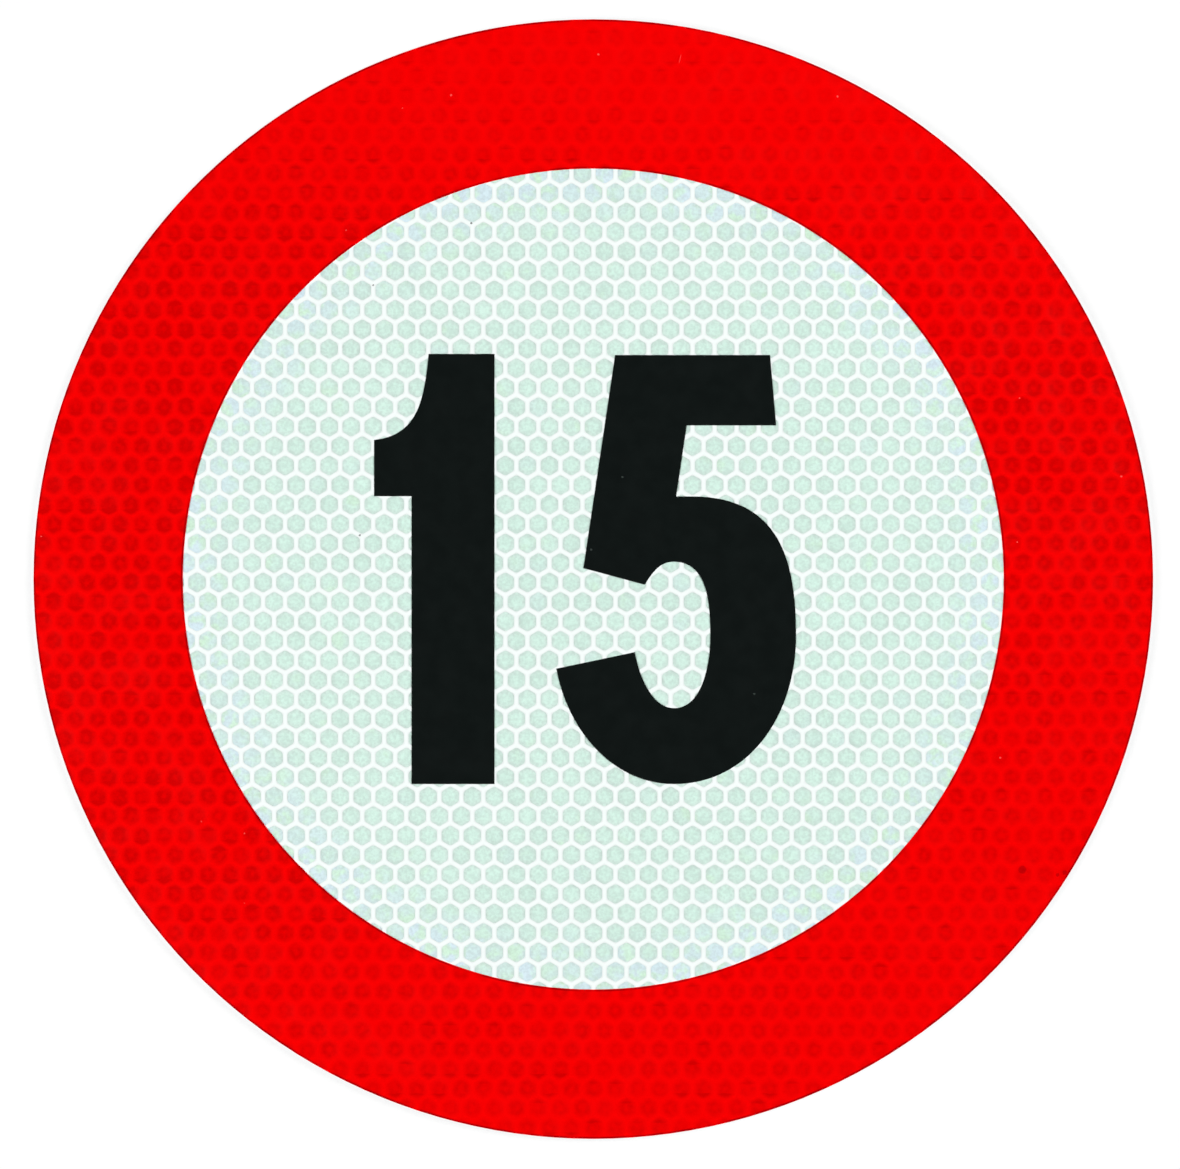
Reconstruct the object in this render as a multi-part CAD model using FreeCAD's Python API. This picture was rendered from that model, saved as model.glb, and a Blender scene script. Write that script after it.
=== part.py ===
"""Round speed limit plate for the back of a slow vehicle.

A flat metal disc carries a sheet of white reflective sheeting, cut flush with it. A red border
and the black numerals 1 and 5 are printed on that sheet as thin films. Millimetres. The plate
lies on its back: the origin is the centre of its back face, +Z points out of its face and +Y is
the numerals' upward direction.
"""
import FreeCAD, Part
import math
import os
from types import SimpleNamespace

from FreeCAD import Vector

# Disc and layers
plate_diameter = 200.0
plate_thickness = 1.0
back_edge_break = 0.2
sheet_thickness = 0.35
film_thickness = 0.05
border_width = 26.7

# Place of the numerals on the plate
pair_left_x = -39.15
numeral_base_y = -36.6
numeral_gap = 11.05

# Numeral 1: a stem with a flag at its upper left
one_stem_width = 14.8
one_stem_height = 51.4
one_top_width = 11.75
flag_reach = 6.7
flag_depth = 10.05
flag_tip_rise = 0.8
flag_throat = 1.5
flag_to_top = 15.35
flag_pulls = (0.5, 1.0)

# Numeral 5: a bar over a leaning stem, and an open bowl under them
bar_left_x = 10.5
bar_length = 27.65
bar_depth = 12.55
bar_end_slant = 1.1
five_stem_width = 14.65
five_stem_lean_deg = 8.47
neck_height = 12.7
stem_drop = 12.8
tongue_length = 10.95
tongue_fall = 2.95
tongue_lean_deg = 31.0
bowl_height = 51.35
bowl_middle_height = 26.5
bowl_left_stroke = 14.0
bowl_right_stroke = 15.3
bowl_top_stroke = 11.65
bowl_bottom_stroke = 13.55
counter_width = 13.5
counter_reach = 7.0
shoulder_run = 2.8
hook_height = 20.6
hook_rise = 2.95
hook_lean_deg = 10.5

# How far each curve follows the directions of its two ends, in the order it is drawn
tongue_pulls = (0.69, 0.78)
counter_upper_pulls = (0.93, 0.43)
counter_lower_pulls = (0.4, 0.78)
counter_left_pulls = (0.75, 0.45)
bowl_left_pulls = (0.56, 0.61)
bowl_right_pulls = (0.62, 0.53)
shoulder_pulls = (0.52, 0.86)

# Levels and radii that pieces share
plate_radius = plate_diameter / 2
field_radius = plate_radius - border_width
sheet_level = plate_thickness
film_level = sheet_level + sheet_thickness


def line(start, end):
    """Straight edge."""
    return Part.makeLine(start, end)


def curve(start, corner, end, pulls):
    """Smooth edge that leaves start towards corner and reaches end coming from corner."""
    near = start + (corner - start) * pulls[0]
    far = end + (corner - end) * pulls[1]
    bezier = Part.BezierCurve()
    bezier.setPoles([start, near, far, end])
    return bezier.toShape()


def film(edges, left_x):
    """Thin film with the closed outline edges, drawn from its own left end and base line."""
    face = Part.Face(Part.Wire(edges))
    solid = face.extrude(Vector(0, 0, film_thickness))
    solid.translate(Vector(left_x, numeral_base_y, film_level))
    return solid


def backing_plate():
    """Metal disc whose back edge is broken where it was deburred."""
    blank = Part.makeCylinder(plate_radius, plate_thickness)
    back_edge = [edge for edge in blank.Edges if edge.BoundBox.ZMax < plate_thickness / 2]
    return blank.makeChamfer(back_edge_break, back_edge)


def reflective_sheet():
    """White sheeting, cut flush with the plate."""
    return Part.makeCylinder(plate_radius, sheet_thickness, Vector(0, 0, sheet_level))


def red_border():
    """Red ring from the plate's edge to the white field."""
    base = Vector(0, 0, film_level)
    disc = Part.makeCylinder(plate_radius, film_thickness, base)
    return disc.cut(Part.makeCylinder(field_radius, film_thickness, base))


def one_width():
    """Width of the numeral 1 over its flag and stem."""
    return flag_reach + one_stem_width


def numeral_one():
    """Numeral 1: straight stem, and a flag whose upper side is one hollow curve."""
    right = one_width()
    flag_top = one_stem_height + flag_depth
    top = flag_top + flag_to_top
    top_left = Vector(right - one_top_width, top)
    flag_tip = Vector(0, flag_top)
    throat = Vector(top_left.x - flag_throat, flag_top + flag_tip_rise)
    corners = [
        flag_tip,
        Vector(0, one_stem_height),
        Vector(flag_reach, one_stem_height),
        Vector(flag_reach, 0),
        Vector(right, 0),
        Vector(right, top),
        top_left,
    ]
    edges = [line(*pair) for pair in zip(corners, corners[1:])]
    edges.append(curve(top_left, throat, flag_tip, flag_pulls))
    return film(edges, pair_left_x)


def bar_and_stem():
    """Corners of the numeral 5's bar and of the stem that leans under it."""
    lean = math.tan(math.radians(five_stem_lean_deg))
    bar_under = bowl_height + neck_height
    top = bar_under + bar_depth
    bar_right = bar_left_x + bar_length
    stem_foot = bowl_height - stem_drop
    armpit_x = bar_left_x - bar_depth * lean + five_stem_width
    stem_left = Vector(bar_left_x - (top - stem_foot) * lean, stem_foot)
    return SimpleNamespace(
        bar_left=Vector(bar_left_x, top),
        bar_right=Vector(bar_right, top),
        bar_tip=Vector(bar_right + bar_end_slant, bar_under),
        armpit=Vector(armpit_x, bar_under),
        stem_right=Vector(armpit_x - neck_height * lean, bowl_height),
        stem_left=stem_left,
        tongue=stem_left + Vector(tongue_length, -tongue_fall),
    )


def bowl():
    """Turning points of the numeral 5's bowl, outside and in its counter."""
    counter_right = bowl_left_stroke + counter_width
    middle_x = bowl_left_stroke + counter_reach
    return SimpleNamespace(
        right=Vector(counter_right + bowl_right_stroke, bowl_middle_height),
        bottom=Vector(middle_x, 0),
        hook=Vector(0, hook_height),
        hook_inner=Vector(bowl_left_stroke, hook_height + hook_rise),
        counter_bottom=Vector(middle_x, bowl_bottom_stroke),
        counter_right=Vector(counter_right, bowl_middle_height),
        counter_top=Vector(middle_x, bowl_height - bowl_top_stroke),
    )


def meeting(start, lean_deg, level):
    """Point at the height level on the line through start that leans from the upright."""
    return Vector(start.x + abs(level - start.y) * math.tan(math.radians(lean_deg)), level)


def numeral_five():
    """Numeral 5: the counter, the bowl, the bar and the stem in one outline."""
    s = bar_and_stem()
    b = bowl()
    shoulder = s.stem_right + Vector(shoulder_run, 0)
    tongue_aim = meeting(s.tongue, tongue_lean_deg, b.counter_top.y)
    counter_left_aim = meeting(b.hook_inner, hook_lean_deg, b.counter_bottom.y)
    hook_aim = meeting(b.hook, hook_lean_deg, b.bottom.y)
    counter_upper_aim = Vector(b.counter_right.x, b.counter_top.y)
    counter_lower_aim = Vector(b.counter_right.x, b.counter_bottom.y)
    edges = [
        line(s.stem_left, s.tongue),
        curve(s.tongue, tongue_aim, b.counter_top, tongue_pulls),
        curve(b.counter_top, counter_upper_aim, b.counter_right, counter_upper_pulls),
        curve(b.counter_right, counter_lower_aim, b.counter_bottom, counter_lower_pulls),
        curve(b.counter_bottom, counter_left_aim, b.hook_inner, counter_left_pulls),
        line(b.hook_inner, b.hook),
        curve(b.hook, hook_aim, b.bottom, bowl_left_pulls),
        curve(b.bottom, Vector(b.right.x, b.bottom.y), b.right, bowl_right_pulls),
        curve(b.right, Vector(b.right.x, shoulder.y), shoulder, shoulder_pulls),
        line(shoulder, s.stem_right),
        line(s.stem_right, s.armpit),
        line(s.armpit, s.bar_tip),
        line(s.bar_tip, s.bar_right),
        line(s.bar_right, s.bar_left),
        line(s.bar_left, s.stem_left),
    ]
    return film(edges, pair_left_x + one_width() + numeral_gap)


nodes = {
    "backing_plate": backing_plate,
    "reflective_sheet": reflective_sheet,
    "red_border": red_border,
    "numeral_one": numeral_one,
    "numeral_five": numeral_five,
}

os.makedirs("parts", exist_ok=True)
for name, make in nodes.items():
    make().exportStep(f"parts/{name}.step")
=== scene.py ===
"""Finishes the round speed limit plate.

The sheeting gets its bead layer and honeycomb walls, the red border and the black numerals get
their print, and the disc behind them gets its bare rolled metal.
"""
import math

import bmesh
import bpy
from mathutils import Color, Matrix, Vector


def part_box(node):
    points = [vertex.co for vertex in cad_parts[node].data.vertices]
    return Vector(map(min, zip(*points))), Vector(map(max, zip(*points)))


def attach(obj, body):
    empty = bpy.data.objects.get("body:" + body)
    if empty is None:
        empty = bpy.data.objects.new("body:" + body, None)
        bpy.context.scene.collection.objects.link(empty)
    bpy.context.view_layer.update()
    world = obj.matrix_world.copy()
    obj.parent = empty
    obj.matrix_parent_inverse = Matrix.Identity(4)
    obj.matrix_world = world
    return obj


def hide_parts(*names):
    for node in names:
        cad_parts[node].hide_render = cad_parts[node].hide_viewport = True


bl_info = {
    "name": "Speed limit plate",
    "version": (1, 0, 0),
    "blender": (4, 5, 0),
    "location": "View3D > Sidebar > Plate",
    "description": "Dresses the packed plate with honeycomb sheeting and printed films",
    "category": "Object",
}

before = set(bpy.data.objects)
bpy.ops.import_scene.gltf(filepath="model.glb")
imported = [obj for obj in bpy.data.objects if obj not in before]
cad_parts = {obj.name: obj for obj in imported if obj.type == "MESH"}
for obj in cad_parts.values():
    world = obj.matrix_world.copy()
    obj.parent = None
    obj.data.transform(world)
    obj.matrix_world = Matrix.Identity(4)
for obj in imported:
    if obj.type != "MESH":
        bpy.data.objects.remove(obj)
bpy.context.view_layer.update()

MM = 0.001
WHITE = (1.0, 1.0, 1.0, 1.0)
UPWARD = (0.0, 0.0, 1.0)

# How finely the meshes are made, and what counts as one point in them
ROUND_STEPS = 180
SHARP_ANGLE = math.radians(30)
CUT_REACH = 2.0 * MM
CUT_SEARCH = 3.0 * MM
TILE_JOIN = 0.002 * MM
CUT_JOIN = 0.001 * MM
CUT_TOLERANCE = 0.0005 * MM

# Marks in the print, in mm from the middle of the plate: across, up, radius
BORDER_PINHOLES = (
    (0.9, 93.7, 0.22),
    (43.6, 86.2, 0.15),
    (76.1, 32.3, 0.14),
    (94.3, 18.3, 0.17),
    (75.7, 6.6, 0.14),
    (-25.4, 86.4, 0.2),
    (-34.1, 84.1, 0.12),
    (-98.6, 7.6, 0.12),
    (-44.1, 62.3, 0.11),
    (72.7, -31.9, 0.2),
    (-70.0, -43.3, 0.12),
    (-62.3, -45.4, 0.1),
    (-62.3, -57.9, 0.1),
)
BORDER_FLECKS = ((76.6, -51.9, 0.75), (84.2, -52.4, 0.45), (82.9, -52.8, 0.35))
SHEET_SPECKS = ((-21.8, 63.6, 0.2), (-39.3, 52.5, 0.15), (-41.7, 7.8, 0.2))
NUMERAL_PINHOLES = ((5.2, 18.2, 0.2), (-0.4, 5.3, 0.18), (28.7, -20.5, 0.2))
MARK_RAGGED_SIZE = 0.3 * MM
MARK_RAGGED_SHIFT = 0.35 * MM
MARK_EDGE_SHARE = 1.15
MARK_FULL_SHARE = 0.7

# The scratch in the border: painted shade in its groove and beside that a painted highlight on its burr,
# in mm across and up
SCRATCH_GROOVE_SHADE = (15.1, 92.9)
SCRATCH_BURR_HIGHLIGHT = (15.5, 92.9)
SCRATCH_SLANT = math.radians(14)
SCRATCH_HALF_WIDTH = MM / 12
SCRATCH_HALF_LENGTH = 1.0 * MM
SCRATCH_FULL_SHARE = 0.6

# How strongly each kind of mark covers what is under it
SPECK_COVER = 0.75
FLECK_COVER = 0.6
# Painted shade in the scratch's groove and painted highlight on its burr
GROOVE_SHADE_COVER = 0.4
BURR_HIGHLIGHT_COVER = 0.55
# EDGE_COVER sets how strongly all dark marks in the red cover: painted shade along the cut edges and in
# the scratch's groove, and the real flecks
EDGE_COVER = 0.7
NUMERAL_PINHOLE_COVER = 0.06

# Sizes of the patterns in the finishes
WALL_BLOTCH = 1.2 * MM
WALL_GLOSS_DRIFT = 6 * MM
WALL_RELIEF = 0.8 * MM
BEAD_GRAIN = 0.5 * MM
COOL_PATCH = 2.6 * MM
COOL_BAND_START = 13 * MM
COOL_BAND_END = 1 * MM
WARM_PATCH = 4 * MM
PRINT_WAVE = 1.4 * MM
PRINT_WAVE_SHIFT = 0.5 * MM
PRINT_BLOTCH = 1.1 * MM
PRINT_GLOSS_DRIFT = 7 * MM
PRINT_RELIEF = 0.9 * MM
# Painted shade along both cut edges of the red border
EDGE_LINE_INNER = 0.5 * MM
EDGE_LINE_FULL = 0.2 * MM
EDGE_LINE_OUTER = 0.12 * MM
EDGE_BREAKS = 5 * MM
BLACK_BLOTCH = 3 * MM
BLACK_GLOSS_DRIFT = 5 * MM
BLACK_RELIEF = 0.9 * MM
BLACK_RELIEF_SHARE = 0.3
ROLLING_LINE = 0.3 * MM
ROLLING_STRETCH = (0.012, 1.0, 1.0)
METAL_STAIN = 55 * MM
METAL_SCUFF = 2.2 * MM
SCUFF_STRETCH = (1.0, 0.06, 1.0)

# How deep the fine relief of each finish goes
SHEETING_RELIEF_DEPTH = 0.02 * MM
BLACK_RELIEF_DEPTH = 0.012 * MM
METAL_RELIEF_DEPTH = 0.01 * MM
RELIEF_STRENGTH = 0.3

# Between these levels lies nearly all of a soft noise
NOISE_RANGE = (0.3, 0.7)

# Depth of the red from the middle of a cell to its edge, partly the print over the bead layer and partly a
# ring of painted shade: share of the way, depth
CELL_DEPTH_AND_SHADE = ((0.0, 0.5), (0.18, 0.62), (0.38, 0.88), (0.53, 0.76), (0.66, 0.55), (0.8, 0.24), (0.96, 0.0))
CELL_SIX_SIDED = 0.45

# Ways across and up in which painted light makes the red over the cells paler
PAINTED_LIGHT_TOP = (0.05, 1.0)
PAINTED_LIGHT_BOTTOM = (0.34, -0.94)

# Stage, in metres and watts
LAMP_SIZE = 0.7
LAMP_POWER = 15.5
KEY_LAMP_PLACE = (0.94, 0.39, 0.885)
FILL_LAMP_PLACE = (-0.94, -0.39, 0.885)
HORIZON_NARROWNESS = 12.0
FLOOR_HALF_WIDTH = 2.0
FLOOR_DROP = 0.02 * MM
SHADOW_FULL_RADIUS = 0.13
SHADOW_END_RADIUS = 0.25
SHADOW_SHARE = 0.3
CAMERA_LENS_MM = 100.0
CAMERA_SENSOR_MM = 36.0
CAMERA_NEAREST = 0.01
CAMERA_PLACE = (-0.59 * MM, -0.97 * MM, 0.5867)


def hole_radius(node):
    """Radius of the round hole in a node that lies about the middle of the plate."""
    return min(vert.co.xy.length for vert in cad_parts[node].data.vertices)


class PlateSizes(bpy.types.PropertyGroup):
    """Sizes of the honeycomb sheeting."""

    cell_pitch: bpy.props.FloatProperty(
        name="Cell pitch",
        description="From the middle of one honeycomb cell to the next in its row",
        default=3.933 * MM,
        unit="LENGTH",
    )
    row_pitch: bpy.props.FloatProperty(
        name="Row pitch",
        description="From one row of cells to the next",
        default=3.477 * MM,
        unit="LENGTH",
    )
    first_cell: bpy.props.FloatVectorProperty(
        name="First cell",
        description="Middle of the cell nearest to the middle of the plate",
        default=(0.03 * MM, -0.6 * MM, 0.0),
        subtype="TRANSLATION",
        unit="LENGTH",
    )
    wall_width: bpy.props.FloatProperty(
        name="Wall width",
        description="Width of the white walls between the cells",
        default=0.84 * MM,
        unit="LENGTH",
    )
    wall_height: bpy.props.FloatProperty(
        name="Wall height",
        description="How far the walls stand above the bead layer",
        default=0.08 * MM,
        unit="LENGTH",
    )
    corner_cut: bpy.props.FloatProperty(
        name="Corner rounding",
        description="How much of each cell corner is rounded off",
        default=0.28 * MM,
        unit="LENGTH",
    )
    field_radius: bpy.props.FloatProperty(
        name="White field radius",
        description="Inner edge of the red border",
        default=hole_radius("red_border"),
        unit="LENGTH",
    )
    border_lap: bpy.props.FloatProperty(
        name="Border lap",
        description="How far the open cells run on under the red border",
        default=1.7 * MM,
        unit="LENGTH",
    )
    border_wall_width: bpy.props.FloatProperty(
        name="Border wall width",
        description="Width of the flat bands between the cells seen through the red print",
        default=0.7 * MM,
        unit="LENGTH",
    )
    border_slope: bpy.props.FloatProperty(
        name="Border slope",
        description="Width of the slope where the red print sags into a cell",
        default=0.35 * MM,
        unit="LENGTH",
    )
    border_sag: bpy.props.FloatProperty(
        name="Border sag",
        description="How deep the red print sags into a cell",
        default=0.035 * MM,
        unit="LENGTH",
    )


def colour_setting(name, description, red, green, blue):
    """A colour property, given as it is seen on a screen, from 0 to 255."""
    return bpy.props.FloatVectorProperty(
        name=name,
        description=description,
        default=(red / 255, green / 255, blue / 255),
        min=0.0,
        max=1.0,
        subtype="COLOR_GAMMA",
    )


class PlateColours(bpy.types.PropertyGroup):
    """Colours of the sheeting, the print and the metal."""

    wall_white: colour_setting("Walls", "White walls of the honeycomb", 248, 255, 253)
    bead_mint: colour_setting("Bead layer", "Middle of a cell's bead layer", 209, 237, 225)
    # The rim colour is painted shade at the foot of the walls; the numerals' pinholes use it too.
    bead_rim_shade: colour_setting("Bead layer rim", "Bead layer along the foot of the walls", 204, 225, 216)
    bead_blue: colour_setting("Cool cells", "Bead layer of the cells next to the border", 209, 228, 236)
    bead_straw: colour_setting("Warm patches", "Stray warm patches in the bead layer", 206, 240, 204)
    print_red: colour_setting("Red print", "Red print over the walls", 249, 1, 2)
    # Over the cells the red is deeper: partly the print over the bead layer, partly painted shade.
    print_deep_red: colour_setting("Red print over cells", "Red print over the cells", 211, 0, 1)
    # Dark red of the painted shade along the cut edges and in the scratch's groove, and of the real flecks
    dark_red_shade_and_flecks: colour_setting("Red print edge", "Thin dark line along the cut edges", 120, 0, 6)
    # Colour of the real pinholes, also used for the painted highlight on the scratch's burr
    pinholes_and_highlight_pale: colour_setting("Pinholes", "Pale pinholes in the red print", 255, 84, 78)
    print_black: colour_setting("Numerals", "Black print of the numerals", 17, 22, 21)
    metal: colour_setting("Metal", "Rolled aluminium of the plate", 226, 228, 230)


def screen_colour(setting):
    """Four linear numbers for a socket from a colour setting."""
    return (*Color(setting).from_srgb_to_scene_linear(), 1.0)


def add_node(tree, kind, values=None, **settings):
    """Adds a node with its settings and fills its inputs with numbers or links."""
    node = tree.nodes.new(kind)
    for name, setting in settings.items():
        setattr(node, name, setting)
    for key, value in (values or {}).items():
        if isinstance(value, bpy.types.NodeSocket):
            tree.links.new(value, node.inputs[key])
        else:
            node.inputs[key].default_value = value
    return node


def number(tree, operation, *terms):
    """The result of one Math node."""
    node = add_node(tree, "ShaderNodeMath", dict(enumerate(terms)), operation=operation)
    return node.outputs[0]


def chain(tree, operation, first, *others):
    """The result of a row of like Math nodes, one for each further term."""
    for other in others:
        first = number(tree, operation, first, other)
    return first


def product(tree, *factors):
    """All the factors multiplied."""
    return chain(tree, "MULTIPLY", *factors)


def strongest(tree, *amounts):
    """The largest of the amounts."""
    return chain(tree, "MAXIMUM", *amounts)


def vector(tree, operation, *terms):
    """The vector that one Vector Math node gives."""
    node = add_node(tree, "ShaderNodeVectorMath", dict(enumerate(terms)), operation=operation)
    return node.outputs["Vector"]


def length(tree, operation, *terms):
    """The number that one Vector Math node gives."""
    node = add_node(tree, "ShaderNodeVectorMath", dict(enumerate(terms)), operation=operation)
    return node.outputs["Value"]


def fade(tree, value, start, end, low=0.0, high=1.0):
    """Eases from low to high while the value goes from start to end."""
    values = {"Value": value, "From Min": start, "From Max": end, "To Min": low, "To Max": high}
    node = add_node(tree, "ShaderNodeMapRange", values, interpolation_type="SMOOTHSTEP")
    return node.outputs["Result"]


def cloud(tree, place, size, detail=2.0):
    """Soft noise whose blotches are about that size."""
    values = {"Vector": place, "Scale": 1.0 / size, "Detail": detail}
    return add_node(tree, "ShaderNodeTexNoise", values).outputs["Fac"]


def mottle(tree, place, size, low, high, detail=2.0):
    """Goes between two levels in blotches of about that size."""
    return fade(tree, cloud(tree, place, size, detail), *NOISE_RANGE, low, high)


def tint(tree, amount, under, over):
    """Goes from one colour to another."""
    return add_node(tree, "ShaderNodeMix", {0: amount, 6: under, 7: over}, data_type="RGBA").outputs[2]


def lighten(tree, colour, amount):
    """A colour times a number."""
    values = {0: 1.0, 6: colour, 7: amount}
    return add_node(tree, "ShaderNodeMix", values, data_type="RGBA", blend_type="MULTIPLY").outputs[2]


def steps(tree, value, stops):
    """A number read off a smooth curve through the stops."""
    node = add_node(tree, "ShaderNodeValToRGB", {"Fac": value})
    ramp = node.color_ramp
    ramp.interpolation = "B_SPLINE"
    for position, _ in stops[2:]:
        ramp.elements.new(position)
    for element, (position, level) in zip(ramp.elements, stops):
        element.position = position
        element.color = (level, level, level, 1.0)
    return node.outputs["Color"]


def object_place(tree):
    """The point on the piece, in metres from the middle of the plate's back."""
    return add_node(tree, "ShaderNodeTexCoord").outputs["Object"]


def flat_place(tree, place):
    """The point seen from above, with no height."""
    return vector(tree, "MULTIPLY", place, (1.0, 1.0, 0.0))


def unevenly(tree, place, size, shift):
    """The point pushed about sideways, so that what is drawn there gets uneven edges."""
    noise = add_node(tree, "ShaderNodeTexNoise", {"Vector": place, "Scale": 1.0 / size})
    push = vector(tree, "SUBTRACT", noise.outputs["Color"], (0.5, 0.5, 0.5))
    return vector(tree, "MULTIPLY_ADD", push, (shift, shift, 0.0), place)


def spots(tree, place, marks):
    """One where the point lies in one of the round marks, which are in mm."""
    place = unevenly(tree, place, MARK_RAGGED_SIZE, MARK_RAGGED_SHIFT)
    total = 0.0
    for across, up, radius in marks:
        distance = length(tree, "DISTANCE", place, (across * MM, up * MM, 0.0))
        spot = fade(tree, distance, MARK_EDGE_SHARE * radius * MM, MARK_FULL_SHARE * radius * MM)
        total = strongest(tree, spot, total)
    return total


def scratch_line(tree, place, across, up):
    """One on a thin slanted line, whose middle is given in mm."""
    line = vector(tree, "SUBTRACT", place, (across * MM, up * MM, 0.0))
    turned = add_node(tree, "ShaderNodeVectorRotate", {"Vector": line, "Angle": SCRATCH_SLANT})
    narrowed = (1.0 / SCRATCH_HALF_WIDTH, 1.0 / SCRATCH_HALF_LENGTH, 0.0)
    line = vector(tree, "MULTIPLY", turned.outputs[0], narrowed)
    return fade(tree, length(tree, "LENGTH", line), start=1.0, end=SCRATCH_FULL_SHARE)


def honeycomb_pattern(sizes):
    """A node group that tells where a point lies in its honeycomb cell."""
    known = bpy.data.node_groups.get("honeycomb_cell")
    if known:
        return known
    tree = bpy.data.node_groups.new("honeycomb_cell", "ShaderNodeTree")
    tree.interface.new_socket("Place", in_out="INPUT", socket_type="NodeSocketVector")
    for name in ("Reach", "Round reach", "Height", "Tone", "Second tone", "Row tone"):
        tree.interface.new_socket(name, in_out="OUTPUT", socket_type="NodeSocketFloat")
    half = sizes.cell_pitch / 2
    row = half * math.sqrt(3)
    place = add_node(tree, "NodeGroupInput").outputs["Place"]
    place = vector(tree, "SUBTRACT", place, tuple(sizes.first_cell))
    place = vector(tree, "MULTIPLY", place, (1.0, row / sizes.row_pitch, 0.0))
    even = vector(tree, "WRAP", place, (half, row, 1.0), (-half, -row, -1.0))
    moved = vector(tree, "SUBTRACT", place, (half, row, 0.0))
    odd = vector(tree, "WRAP", moved, (half, row, 1.0), (-half, -row, -1.0))
    odd_is_nearer = number(tree, "LESS_THAN", length(tree, "LENGTH", odd), length(tree, "LENGTH", even))
    values = {0: odd_is_nearer, 4: even, 5: odd}
    inside = add_node(tree, "ShaderNodeMix", values, data_type="VECTOR").outputs[1]
    folded = vector(tree, "ABSOLUTE", inside)
    slanted_side = (math.cos(math.pi / 3), math.sin(math.pi / 3), 0.0)
    slant = length(tree, "DOT_PRODUCT", folded, slanted_side)
    across = length(tree, "DOT_PRODUCT", folded, (1.0, 0.0, 0.0))
    reach = number(tree, "DIVIDE", strongest(tree, slant, across), half)
    round_reach = number(tree, "DIVIDE", length(tree, "LENGTH", inside), half)
    height = length(tree, "DOT_PRODUCT", inside, (0.0, 1.0 / half, 0.0))
    middle = vector(tree, "SUBTRACT", place, inside)
    count = vector(tree, "MULTIPLY_ADD", middle, (1.0 / half, 1.0 / row, 0.0), (0.5, 0.5, 0.0))
    count = vector(tree, "FLOOR", count)
    noise = add_node(tree, "ShaderNodeTexWhiteNoise", {"Vector": count})
    tones = add_node(tree, "ShaderNodeSeparateColor", {0: noise.outputs["Color"]}).outputs
    row_count = vector(tree, "MULTIPLY", count, (0.0, 1.0, 0.0))
    row_noise = add_node(tree, "ShaderNodeTexWhiteNoise", {"Vector": row_count})
    values = {"Reach": reach, "Round reach": round_reach, "Height": height}
    values.update({"Tone": tones[0], "Second tone": tones[1], "Row tone": row_noise.outputs["Value"]})
    add_node(tree, "NodeGroupOutput", values)
    return tree


def cell_at(tree, sizes, place):
    """The outputs of the honeycomb pattern at a point."""
    node = add_node(tree, "ShaderNodeGroup", node_tree=honeycomb_pattern(sizes))
    tree.links.new(place, node.inputs["Place"])
    return node.outputs


def new_material(name):
    """A material with its node tree and main shader."""
    material = bpy.data.materials.new(name)
    material.use_nodes = True
    return material, material.node_tree, material.node_tree.nodes["Principled BSDF"]


def finish(tree, shader, colour, roughness, relief, depth):
    """Links a colour, a roughness and a fine relief to the shader."""
    values = {"Height": relief, "Distance": depth, "Strength": RELIEF_STRENGTH}
    bump = add_node(tree, "ShaderNodeBump", values)
    tree.links.new(colour, shader.inputs["Base Color"])
    tree.links.new(roughness, shader.inputs["Roughness"])
    tree.links.new(bump.outputs["Normal"], shader.inputs["Normal"])


def wall_material(sizes, colours):
    """Bright white bond of the honeycomb walls, with painted shade along its edges, and a few dirt specks.
    """
    material, tree, shader = new_material("white_walls")
    place = object_place(tree)
    flat = flat_place(tree, place)
    white = screen_colour(colours.wall_white)
    colour = lighten(tree, white, mottle(tree, place, WALL_BLOTCH, low=0.985, high=1.005))
    reach = cell_at(tree, sizes, flat)["Reach"]
    # Painted shade: the walls darken towards their edges, where they drop to the cells.
    colour = lighten(tree, colour, fade(tree, reach, start=0.77, end=0.93, low=0.9))
    specks = product(tree, spots(tree, flat, SHEET_SPECKS), SPECK_COVER)
    colour = tint(tree, specks, colour, screen_colour(colours.print_black))
    gloss = mottle(tree, place, WALL_GLOSS_DRIFT, low=0.14, high=0.2)
    finish(tree, shader, colour, gloss, cloud(tree, place, WALL_RELIEF), SHEETING_RELIEF_DEPTH)
    return material


def cool_cells(tree, cell, near_border, patches):
    """How blue the beads are: in patches next to the border, and in a few stray cells."""
    beside = product(tree, near_border, fade(tree, cell["Tone"], start=0.0, end=1.0, low=0.25))
    stray = fade(tree, cell["Second tone"], start=0.9, end=1.0, high=0.2)
    return product(tree, strongest(tree, beside, stray), patches)


def warm_cells(tree, cell, flat, near_border, patches):
    """How yellow the beads are: in some cells anywhere, and between the cool patches."""
    anywhere = fade(tree, cloud(tree, flat, WARM_PATCH), start=0.55, end=0.7)
    some_cells = fade(tree, cell["Second tone"], start=0.4, end=0.0, high=0.35)
    unpatched = number(tree, "SUBTRACT", 1.0, patches)
    other_cells = fade(tree, cell["Second tone"], start=0.2, end=0.9, low=0.1, high=0.55)
    between = product(tree, near_border, unpatched, other_cells)
    return strongest(tree, product(tree, anywhere, some_cells), between)


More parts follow.
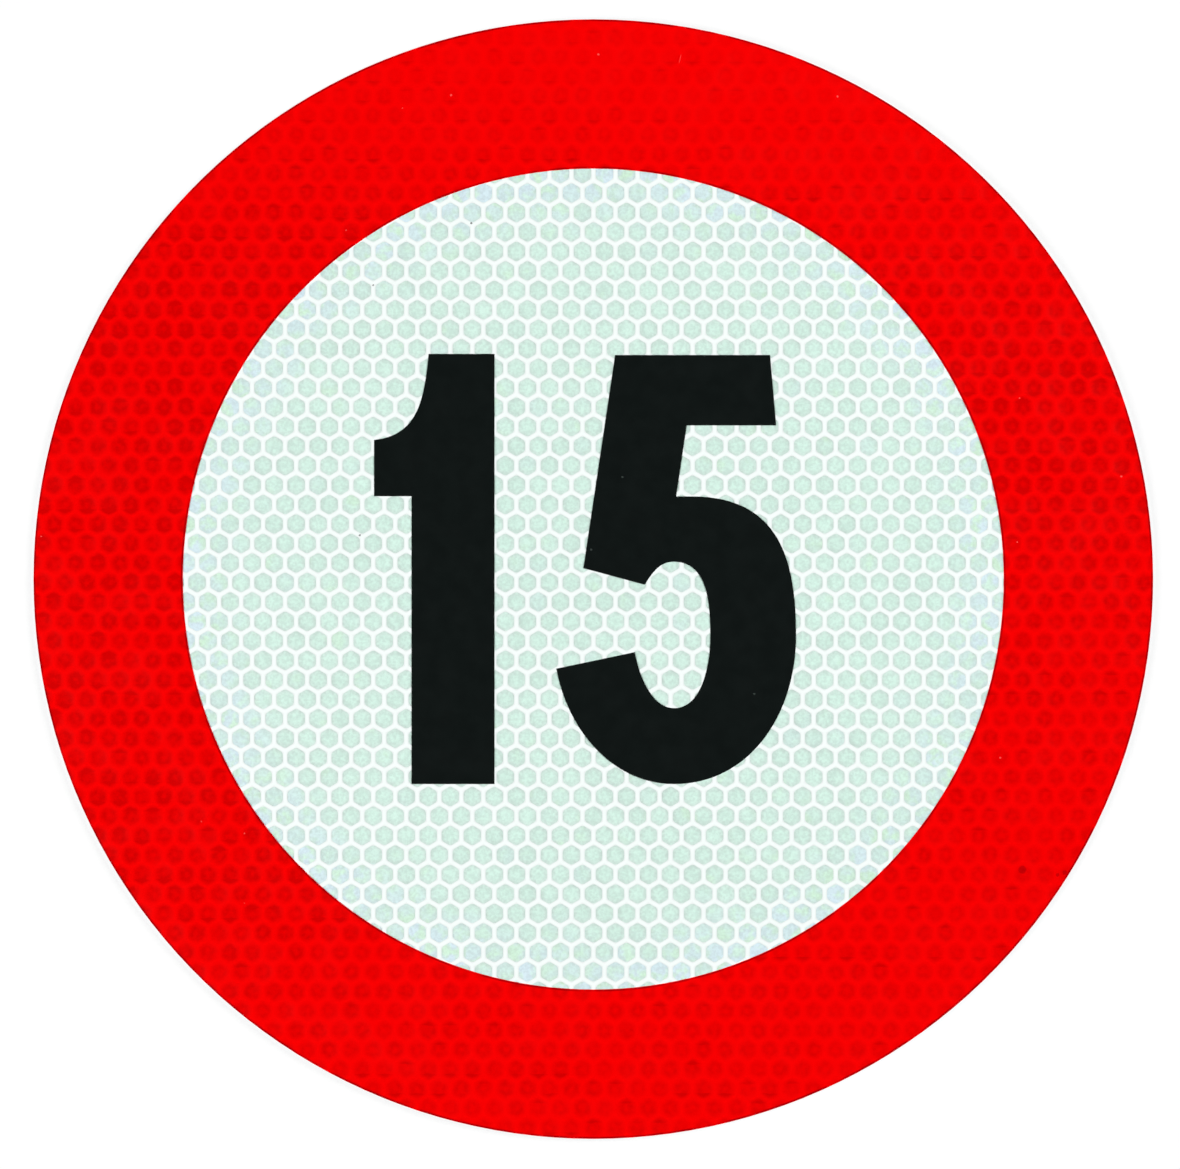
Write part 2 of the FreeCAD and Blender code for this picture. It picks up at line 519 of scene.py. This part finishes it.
def bead_material(sizes, colours):
    """Mint bead layer: greyer with painted shade along the foot of the walls, cooler next to the border,
    with a fine grain.
    """
    material, tree, shader = new_material("bead_layer")
    place = object_place(tree)
    flat = flat_place(tree, place)
    cell = cell_at(tree, sizes, flat)
    mint = screen_colour(colours.bead_mint)
    foot_shade = screen_colour(colours.bead_rim_shade)
    # Painted shade: the beads turn greyer towards the foot of the walls.
    colour = tint(tree, fade(tree, cell["Reach"], start=0.3, end=0.8), mint, foot_shade)
    band_start = sizes.field_radius - COOL_BAND_START
    band_end = sizes.field_radius - COOL_BAND_END
    near_border = fade(tree, length(tree, "LENGTH", flat), band_start, band_end)
    patches = fade(tree, cloud(tree, flat, COOL_PATCH), start=0.34, end=0.58)
    cool = cool_cells(tree, cell, near_border, patches)
    colour = tint(tree, cool, colour, screen_colour(colours.bead_blue))
    warm = warm_cells(tree, cell, flat, near_border, patches)
    colour = tint(tree, warm, colour, screen_colour(colours.bead_straw))
    grain = cloud(tree, place, BEAD_GRAIN, detail=3.0)
    colour = lighten(tree, colour, fade(tree, grain, start=0.25, end=0.75, low=0.91, high=1.09))
    colour = lighten(tree, colour, fade(tree, cell["Tone"], start=0.0, end=1.0, low=0.98, high=1.02))
    gloss = fade(tree, grain, *NOISE_RANGE, low=0.36, high=0.5)
    finish(tree, shader, colour, gloss, grain, SHEETING_RELIEF_DEPTH)
    return material


def shade_crescents(tree, cell):
    """Painted shade: dark crescent shapes low in some cells of some rows, and high in a few others."""
    low = fade(tree, cell["Height"], start=-0.36, end=-0.5, high=1.4)
    low_rows = fade(tree, cell["Row tone"], start=0.5, end=0.8)
    low_cells = fade(tree, cell["Second tone"], start=0.2, end=0.7)
    high = fade(tree, cell["Height"], start=0.36, end=0.5, high=1.2)
    high_cells = fade(tree, cell["Second tone"], start=0.3, end=0.05)
    lower = product(tree, low, low_rows, low_cells)
    return number(tree, "ADD", lower, product(tree, high, high_cells))


def share_of_radius(tree, flat, way, radius):
    """How far the point lies along a way across the plate, where one is the radius."""
    across, up = way
    return length(tree, "DOT_PRODUCT", flat, (across / radius, up / radius, 0.0))


def print_depth_and_shade(tree, sizes, flat, outer_radius):
    """How deep the red is: a soft ring in every cell, partly the print over the bead layer and partly
    painted shade, painted shade in crescent shapes in some cells, and painted light that makes it paler at
    the top and bottom of the plate.
    """
    cell = cell_at(tree, sizes, unevenly(tree, flat, PRINT_WAVE, PRINT_WAVE_SHIFT))
    rounder = product(tree, cell["Round reach"], 1.0 - CELL_SIX_SIDED)
    outward = number(tree, "MULTIPLY_ADD", cell["Reach"], CELL_SIX_SIDED, rounder)
    # The ring is partly the print over the bead layer and partly painted shade round the cell.
    ring = steps(tree, outward, CELL_DEPTH_AND_SHADE)
    blotches = mottle(tree, flat, PRINT_BLOTCH, low=0.7, high=1.3)
    # Painted shade in crescent shapes; the blotches are the print's own unevenness.
    marks = number(tree, "ADD", blotches, shade_crescents(tree, cell))
    tone = fade(tree, cell["Tone"], start=0.0, end=1.0, low=0.83, high=1.19)
    # Painted light: the red over the cells is paler towards the top and bottom of the plate.
    upwards = share_of_radius(tree, flat, PAINTED_LIGHT_TOP, outer_radius)
    downwards = share_of_radius(tree, flat, PAINTED_LIGHT_BOTTOM, outer_radius)
    top = fade(tree, upwards, start=0.4, end=0.95, low=1.0, high=0.3)
    bottom = fade(tree, downwards, start=0.0, end=0.9, low=1.0, high=0.6)
    return product(tree, ring, marks, tone, top, bottom)


def edge_shade_line(tree, sizes, flat, outer_radius):
    """A broken line of painted shade just inside both cut edges of the border."""
    from_middle = length(tree, "LENGTH", flat)
    from_rim = number(tree, "SUBTRACT", outer_radius, from_middle)
    from_field = number(tree, "SUBTRACT", from_middle, sizes.field_radius)
    from_edge = number(tree, "MINIMUM", from_rim, from_field)
    inner_side = fade(tree, from_edge, EDGE_LINE_INNER, EDGE_LINE_FULL)
    outer_side = fade(tree, from_edge, 0.0, EDGE_LINE_OUTER)
    breaks = fade(tree, cloud(tree, flat, EDGE_BREAKS, detail=3.0), start=0.3, end=0.55)
    return product(tree, inner_side, outer_side, breaks)


def border_material(sizes, colours, outer_radius):
    """See-through red print: deeper over the cells, partly with painted shade, with pinholes, flecks,
    painted shade along the cut edges, and painted shade and a painted highlight at a scratch.
    """
    material, tree, shader = new_material("red_print")
    place = object_place(tree)
    flat = flat_place(tree, place)
    depth = print_depth_and_shade(tree, sizes, flat, outer_radius)
    red = screen_colour(colours.print_red)
    colour = tint(tree, depth, red, screen_colour(colours.print_deep_red))
    # Painted shade along the cut edges.
    edge = edge_shade_line(tree, sizes, flat, outer_radius)
    flecks = product(tree, spots(tree, flat, BORDER_FLECKS), FLECK_COVER)
    # Painted shade in the scratch's groove.
    groove = product(tree, scratch_line(tree, flat, *SCRATCH_GROOVE_SHADE), GROOVE_SHADE_COVER)
    dark = product(tree, strongest(tree, edge, flecks, groove), EDGE_COVER)
    colour = tint(tree, dark, colour, screen_colour(colours.dark_red_shade_and_flecks))
    # Painted highlight on the scratch's burr; the pinholes are real.
    burr = product(tree, scratch_line(tree, flat, *SCRATCH_BURR_HIGHLIGHT), BURR_HIGHLIGHT_COVER)
    highlight_and_pinholes = strongest(tree, burr, spots(tree, flat, BORDER_PINHOLES))
    colour = tint(tree, highlight_and_pinholes, colour, screen_colour(colours.pinholes_and_highlight_pale))
    gloss = mottle(tree, place, PRINT_GLOSS_DRIFT, low=0.12, high=0.18)
    finish(tree, shader, colour, gloss, cloud(tree, place, PRINT_RELIEF), SHEETING_RELIEF_DEPTH)
    return material


def numeral_material(sizes, colours):
    """Smooth black print with pinholes, on which the honeycomb below shows only as a faint relief."""
    material, tree, shader = new_material("black_print")
    place = object_place(tree)
    flat = flat_place(tree, place)
    black = screen_colour(colours.print_black)
    colour = lighten(tree, black, mottle(tree, flat, BLACK_BLOTCH, low=0.92, high=1.08))
    holes = product(tree, spots(tree, flat, NUMERAL_PINHOLES), NUMERAL_PINHOLE_COVER)
    # Pinholes show the bead layer, in the colour of its painted rim shade.
    colour = tint(tree, holes, colour, screen_colour(colours.bead_rim_shade))
    gloss = mottle(tree, flat, BLACK_GLOSS_DRIFT, low=0.14, high=0.2, detail=3.0)
    walls = fade(tree, cell_at(tree, sizes, flat)["Reach"], start=0.6, end=0.85)
    relief = number(tree, "MULTIPLY_ADD", cloud(tree, place, BLACK_RELIEF), BLACK_RELIEF_SHARE, walls)
    finish(tree, shader, colour, gloss, relief, BLACK_RELIEF_DEPTH)
    return material


def metal_material(colours):
    """Rolled aluminium: fine lines along the rolling, faint stains and a few scuffs."""
    material, tree, shader = new_material("rolled_aluminium")
    shader.inputs["Metallic"].default_value = 1.0
    place = object_place(tree)
    along_rolling = vector(tree, "MULTIPLY", place, ROLLING_STRETCH)
    along_scuffs = vector(tree, "MULTIPLY", place, SCUFF_STRETCH)
    lines = cloud(tree, along_rolling, ROLLING_LINE, detail=3.0)
    stains = cloud(tree, place, METAL_STAIN, detail=5.0)
    scuffs = cloud(tree, along_scuffs, METAL_SCUFF, detail=4.0)
    metal = screen_colour(colours.metal)
    colour = lighten(tree, metal, fade(tree, lines, *NOISE_RANGE, low=0.9, high=1.03))
    colour = lighten(tree, colour, fade(tree, stains, start=0.35, end=0.7, low=1.0, high=0.96))
    satin = fade(tree, stains, *NOISE_RANGE, low=0.34, high=0.38)
    worn = number(tree, "ADD", satin, fade(tree, scuffs, start=0.58, end=0.74, high=0.2))
    finish(tree, shader, colour, worn, lines, METAL_RELIEF_DEPTH)
    return material


def new_piece(name, bm, material, replaced=None):
    """Turns a finished bmesh into a piece that rides on the plate."""
    bmesh.ops.recalc_face_normals(bm, faces=bm.faces)
    if not all(edge.is_manifold for edge in bm.edges):
        raise RuntimeError(f"the mesh of {name} isn't closed")
    mesh = bpy.data.meshes.new(name)
    bm.to_mesh(mesh)
    bm.free()
    mesh.shade_smooth()
    mesh.set_sharp_from_angle(angle=SHARP_ANGLE)
    mesh.materials.append(material)
    piece = bpy.data.objects.new(name, mesh)
    bpy.context.scene.collection.objects.link(piece)
    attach(piece, "root")
    if replaced:
        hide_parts(replaced)


def new_corners(made):
    """The vertices among what a bmesh operator made."""
    return [item for item in made["geom"] if isinstance(item, bmesh.types.BMVert)]


def repeat(bm, step, copies):
    """Copies all that is in the bmesh, each copy one step further on."""
    shape = bm.verts[:] + bm.edges[:] + bm.faces[:]
    for turn in range(1, copies):
        moved = new_corners(bmesh.ops.duplicate(bm, geom=shape))
        bmesh.ops.translate(bm, verts=moved, vec=step * turn)


def cell_tile(sizes, wall_width):
    """A bmesh of one six-sided tile: half of the walls round a cell, and the cell's face."""
    bm = bmesh.new()
    bmesh.ops.create_circle(bm, cap_ends=True, segments=6, radius=sizes.cell_pitch / math.sqrt(3))
    stretch = sizes.row_pitch / (sizes.cell_pitch * math.sqrt(0.75))
    bmesh.ops.scale(bm, vec=(1.0, stretch, 1.0), verts=bm.verts)
    cell = bm.faces[:]
    bmesh.ops.inset_individual(bm, faces=cell, thickness=wall_width / 2, use_even_offset=True)
    bmesh.ops.bevel(
        bm,
        geom=cell[0].verts[:],
        offset=sizes.corner_cut,
        segments=1,
        profile=0.5,
        affect="VERTICES",
        material=-1,
    )
    return bm


def cell_face(bm):
    """The face of the cell in a tile, which is the one with most corners."""
    return max(bm.faces, key=lambda face: len(face.verts))


def lay_honeycomb(bm, sizes, radius, level):
    """Repeats the tile in the bmesh over a square that holds a circle of that radius."""
    columns = math.ceil(radius / sizes.cell_pitch) + 1
    pairs = math.ceil(radius / sizes.row_pitch / 2) + 1
    across = Vector((sizes.cell_pitch, 0.0, 0.0))
    next_row = Vector((sizes.cell_pitch / 2, sizes.row_pitch, 0.0))
    two_rows = Vector((0.0, 2 * sizes.row_pitch, 0.0))
    start = Vector(sizes.first_cell) - across * columns - two_rows * pairs
    bmesh.ops.translate(bm, verts=bm.verts, vec=start + Vector((0.0, 0.0, level)))
    repeat(bm, across, 2 * columns + 1)
    repeat(bm, next_row, 2)
    repeat(bm, two_rows, 2 * pairs + 1)
    bmesh.ops.remove_doubles(bm, verts=bm.verts, dist=TILE_JOIN)


def side_direction(count):
    """The direction that one side of the many-sided circle faces."""
    turn = (count + 0.5) * math.tau / ROUND_STEPS
    return Vector((math.cos(turn), math.sin(turn), 0.0))


def side_of_circle(point):
    """The direction of the side of the many-sided circle where the point lies."""
    step = math.tau / ROUND_STEPS
    return side_direction(math.floor(math.atan2(point.y, point.x) / step))


def take_faces(bm, test):
    """Deletes the faces whose middle, seen from above, passes the test."""
    gone = [face for face in bm.faces if test(face.calc_center_median().to_2d().to_3d())]
    bmesh.ops.delete(bm, geom=gone, context="FACES")


def take_slivers(bm):
    """Deletes what a cut leaves that can't close: bare edges, and faces that touch only at a corner."""
    bare = [edge for edge in bm.edges if not edge.link_faces]
    bmesh.ops.delete(bm, geom=bare, context="EDGES")
    corners = [vert for vert in bm.verts if sum(edge.is_boundary for edge in vert.link_edges) > 2]
    slivers = {min(vert.link_faces, key=lambda face: face.calc_area()) for vert in corners}
    bmesh.ops.delete(bm, geom=list(slivers), context="FACES")


def cut_along(bm, point, outward):
    """Cuts the faces near the point by the plane there that faces outward."""
    faces = [face for face in bm.faces if (face.calc_center_median() - point).xy.length < CUT_SEARCH]
    edges = {edge for face in faces for edge in face.edges}
    verts = {vert for face in faces for vert in face.verts}
    bmesh.ops.bisect_plane(
        bm,
        geom=[*verts, *edges, *faces],
        dist=CUT_TOLERANCE,
        plane_co=point,
        plane_no=outward,
    )


def trim_round(bm, radius, keep_inside):
    """Cuts the honeycomb along a circle and takes away what lies on the other side."""
    rim = bm.copy()
    take_faces(rim, lambda middle: abs(middle.length - radius) >= CUT_REACH)
    take_faces(bm, lambda middle: abs(middle.length - radius) < CUT_REACH)
    take_faces(bm, lambda middle: (middle.length < radius) != keep_inside)
    flat_radius = radius * math.cos(math.pi / ROUND_STEPS)
    for count in range(ROUND_STEPS):
        outward = side_direction(count)
        cut_along(rim, outward * flat_radius, outward)
    take_faces(rim, lambda middle: (middle.dot(side_of_circle(middle)) < flat_radius) != keep_inside)
    cut = bpy.data.meshes.new("cut")
    rim.to_mesh(cut)
    rim.free()
    bm.from_mesh(cut)
    bpy.data.meshes.remove(cut)
    bmesh.ops.remove_doubles(bm, verts=bm.verts, dist=CUT_JOIN)
    take_slivers(bm)


def plate_radius():
    """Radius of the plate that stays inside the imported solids."""
    low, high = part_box("red_border")
    return min(high.x, high.y, -low.x, -low.y)


class PLATE_OT_lay_bead_layer(bpy.types.Operator):
    """Turns the bead-coated base of the sheeting, with a raised land under the red border"""

    bl_idname = "plate.lay_bead_layer"
    bl_label = "Bead layer"

    def execute(self, context):
        sizes = context.scene.plate_sizes
        low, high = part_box("reflective_sheet")
        radius = plate_radius()
        land = sizes.field_radius + sizes.border_lap
        floor = high.z - sizes.wall_height
        outline = (
            (0, low.z),
            (radius, low.z),
            (radius, high.z),
            (land, high.z),
            (land, floor),
            (0, floor),
        )
        bm = bmesh.new()
        points = [bm.verts.new((across, 0.0, up)) for across, up in outline]
        sides = [bm.edges.new(pair) for pair in zip(points, points[1:])]
        bmesh.ops.spin(
            bm,
            geom=points + sides,
            axis=UPWARD,
            cent=(0.0, 0.0, 0.0),
            angle=math.tau,
            steps=ROUND_STEPS,
            use_merge=True,
        )
        bmesh.ops.remove_doubles(bm, verts=bm.verts, dist=TILE_JOIN)
        material = bead_material(sizes, context.scene.plate_colours)
        new_piece("bead_layer", bm, material, "reflective_sheet")
        return {"FINISHED"}


class PLATE_OT_raise_walls(bpy.types.Operator):
    """Builds the white honeycomb walls on the bead layer"""

    bl_idname = "plate.raise_walls"
    bl_label = "Honeycomb walls"

    def execute(self, context):
        sizes = context.scene.plate_sizes
        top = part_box("reflective_sheet")[1].z
        radius = sizes.field_radius + sizes.border_lap
        bm = cell_tile(sizes, sizes.wall_width)
        bmesh.ops.delete(bm, geom=[cell_face(bm)], context="FACES")
        lay_honeycomb(bm, sizes, radius, top)
        trim_round(bm, radius, True)
        foot = new_corners(bmesh.ops.extrude_face_region(bm, geom=bm.faces[:]))
        bmesh.ops.translate(bm, verts=foot, vec=(0.0, 0.0, -sizes.wall_height))
        material = wall_material(sizes, context.scene.plate_colours)
        new_piece("honeycomb_walls", bm, material)
        return {"FINISHED"}


class PLATE_OT_print_border(bpy.types.Operator):
    """Builds the red border, which sags a little into every cell below it"""

    bl_idname = "plate.print_border"
    bl_label = "Red border"

    def execute(self, context):
        sizes = context.scene.plate_sizes
        low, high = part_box("red_border")
        radius = plate_radius()
        bm = cell_tile(sizes, sizes.border_wall_width)
        bmesh.ops.inset_individual(
            bm,
            faces=[cell_face(bm)],
            thickness=sizes.border_slope,
            depth=-sizes.border_sag,
            use_even_offset=True,
        )
        lay_honeycomb(bm, sizes, radius, high.z)
        trim_round(bm, radius, True)
        trim_round(bm, sizes.field_radius, False)
        rims = [edge for edge in bm.edges if edge.is_boundary]
        foot = new_corners(bmesh.ops.extrude_edge_only(bm, edges=rims))
        bmesh.ops.scale(bm, vec=(1.0, 1.0, 0.0), verts=foot)
        bmesh.ops.translate(bm, verts=foot, vec=(0.0, 0.0, low.z))
        bottom = [edge for edge in bm.edges if edge.is_boundary]
        bmesh.ops.triangle_fill(bm, use_beauty=True, edges=bottom)
        material = border_material(sizes, context.scene.plate_colours, radius)
        new_piece("red_border_print", bm, material, "red_border")
        return {"FINISHED"}


def dress_node(name, material):
    """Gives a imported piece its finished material."""
    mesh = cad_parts[name].data
    mesh.materials.clear()
    mesh.materials.append(material)


class PLATE_OT_print_numerals(bpy.types.Operator):
    """Gives both numerals their smooth black print"""

    bl_idname = "plate.print_numerals"
    bl_label = "Numerals"

    def execute(self, context):
        material = numeral_material(context.scene.plate_sizes, context.scene.plate_colours)
        for name in ("numeral_one", "numeral_five"):
            dress_node(name, material)
        return {"FINISHED"}


class PLATE_OT_finish_metal(bpy.types.Operator):
    """Gives the backing plate its rolled aluminium"""

    bl_idname = "plate.finish_metal"
    bl_label = "Backing plate"

    def execute(self, context):
        dress_node("backing_plate", metal_material(context.scene.plate_colours))
        return {"FINISHED"}


def floor_material():
    """White paper that glows for the camera, shades under the plate and is open from below."""
    material = bpy.data.materials.new("white_floor")
    material.use_nodes = True
    tree = material.node_tree
    tree.nodes.clear()
    rays = add_node(tree, "ShaderNodeLightPath").outputs
    seen = strongest(tree, rays["Is Camera Ray"], rays["Is Glossy Ray"], rays["Is Transmission Ray"])
    from_below = add_node(tree, "ShaderNodeNewGeometry").outputs["Backfacing"]
    shown = number(tree, "SUBTRACT", seen, from_below)
    from_middle = length(tree, "LENGTH", object_place(tree))
    shaded = fade(tree, from_middle, SHADOW_FULL_RADIUS, SHADOW_END_RADIUS, low=SHADOW_SHARE, high=0.0)
    glow = add_node(tree, "ShaderNodeEmission", {"Color": WHITE, "Strength": 1.0})
    lit = add_node(tree, "ShaderNodeBsdfDiffuse", {"Color": WHITE})
    paper = add_node(tree, "ShaderNodeMixShader", {0: shaded, 1: glow.outputs[0], 2: lit.outputs[0]})
    clear = add_node(tree, "ShaderNodeBsdfTransparent")
    both = add_node(tree, "ShaderNodeMixShader", {0: shown, 1: clear.outputs[0], 2: paper.outputs[0]})
    add_node(tree, "ShaderNodeOutputMaterial", {"Surface": both.outputs[0]})
    return material


def make_floor():
    """A wide white floor just below the plate."""
    bm = bmesh.new()
    bmesh.ops.create_grid(bm, x_segments=1, y_segments=1, size=FLOOR_HALF_WIDTH)
    bmesh.ops.translate(bm, verts=bm.verts, vec=(0.0, 0.0, -FLOOR_DROP))
    mesh = bpy.data.meshes.new("floor")
    bm.to_mesh(mesh)
    bm.free()
    floor = bpy.data.objects.new("floor", mesh)
    bpy.context.scene.collection.objects.link(floor)
    mesh.materials.append(floor_material())


def make_world():
    """White all round for the camera, and for all other rays a white horizon under a dark room."""
    world = bpy.data.worlds.new("studio")
    bpy.context.scene.world = world
    world.use_nodes = True
    tree = world.node_tree
    tree.nodes.clear()
    direction = add_node(tree, "ShaderNodeTexCoord").outputs["Generated"]
    height = length(tree, "DOT_PRODUCT", direction, UPWARD)
    below_top = number(tree, "SUBTRACT", 1.0, strongest(tree, height, 0.0))
    horizon = number(tree, "POWER", below_top, HORIZON_NARROWNESS)
    camera = add_node(tree, "ShaderNodeLightPath").outputs["Is Camera Ray"]
    strength = strongest(tree, camera, horizon)
    white = add_node(tree, "ShaderNodeBackground", {"Color": WHITE, "Strength": strength})
    add_node(tree, "ShaderNodeOutputWorld", {"Surface": white.outputs[0]})


def add_lamp(name, place):
    """A large square lamp that faces the plate."""
    lamp = bpy.data.lights.new(name, "AREA")
    lamp.shape = "SQUARE"
    lamp.size = LAMP_SIZE
    lamp.energy = LAMP_POWER
    holder = bpy.data.objects.new(name, lamp)
    holder.location = place
    holder.rotation_euler = Vector(place).to_track_quat("Z", "Y").to_euler()
    holder.visible_camera = False
    bpy.context.scene.collection.objects.link(holder)


def add_camera():
    """A camera that looks straight down on the plate."""
    camera = bpy.data.cameras.new("camera")
    camera.lens = CAMERA_LENS_MM
    camera.sensor_width = CAMERA_SENSOR_MM
    camera.clip_start = CAMERA_NEAREST
    holder = bpy.data.objects.new("camera", camera)
    holder.matrix_world = Matrix.Translation(CAMERA_PLACE)
    bpy.context.scene.collection.objects.link(holder)
    bpy.context.scene.camera = holder


class PLATE_OT_set_stage(bpy.types.Operator):
    """Sets the floor, the surroundings, the lamps and the camera straight above the plate"""

    bl_idname = "plate.set_stage"
    bl_label = "Stage"

    def execute(self, context):
        make_floor()
        make_world()
        add_lamp("key_lamp", KEY_LAMP_PLACE)
        add_lamp("fill_lamp", FILL_LAMP_PLACE)
        add_camera()
        context.scene.view_settings.view_transform = "Standard"
        return {"FINISHED"}


class PLATE_PT_plate(bpy.types.Panel):
    """Lists the pieces of the plate and its settings"""

    bl_label = "Speed limit plate"
    bl_space_type = "VIEW_3D"
    bl_region_type = "UI"
    bl_category = "Plate"

    def draw(self, context):
        for operator in OPERATORS:
            self.layout.operator(operator.bl_idname)
        for settings in (context.scene.plate_sizes, context.scene.plate_colours):
            for name in settings.__annotations__:
                self.layout.prop(settings, name)


OPERATORS = (
    PLATE_OT_lay_bead_layer,
    PLATE_OT_raise_walls,
    PLATE_OT_print_border,
    PLATE_OT_print_numerals,
    PLATE_OT_finish_metal,
    PLATE_OT_set_stage,
)
CLASSES = (PlateSizes, PlateColours, *OPERATORS, PLATE_PT_plate)


def register():
    """Adds the settings, the operators and the panel to Blender."""
    for each in CLASSES:
        bpy.utils.register_class(each)
    bpy.types.Scene.plate_sizes = bpy.props.PointerProperty(type=PlateSizes)
    bpy.types.Scene.plate_colours = bpy.props.PointerProperty(type=PlateColours)


def unregister():
    """Takes them out again."""
    del bpy.types.Scene.plate_colours
    del bpy.types.Scene.plate_sizes
    for each in reversed(CLASSES):
        bpy.utils.unregister_class(each)


def main():
    """Dresses the plate and sets the stage."""
    register()
    bpy.ops.plate.lay_bead_layer()
    bpy.ops.plate.raise_walls()
    bpy.ops.plate.print_border()
    bpy.ops.plate.print_numerals()
    bpy.ops.plate.finish_metal()
    bpy.ops.plate.set_stage()


if __name__ == "__main__":
    main()
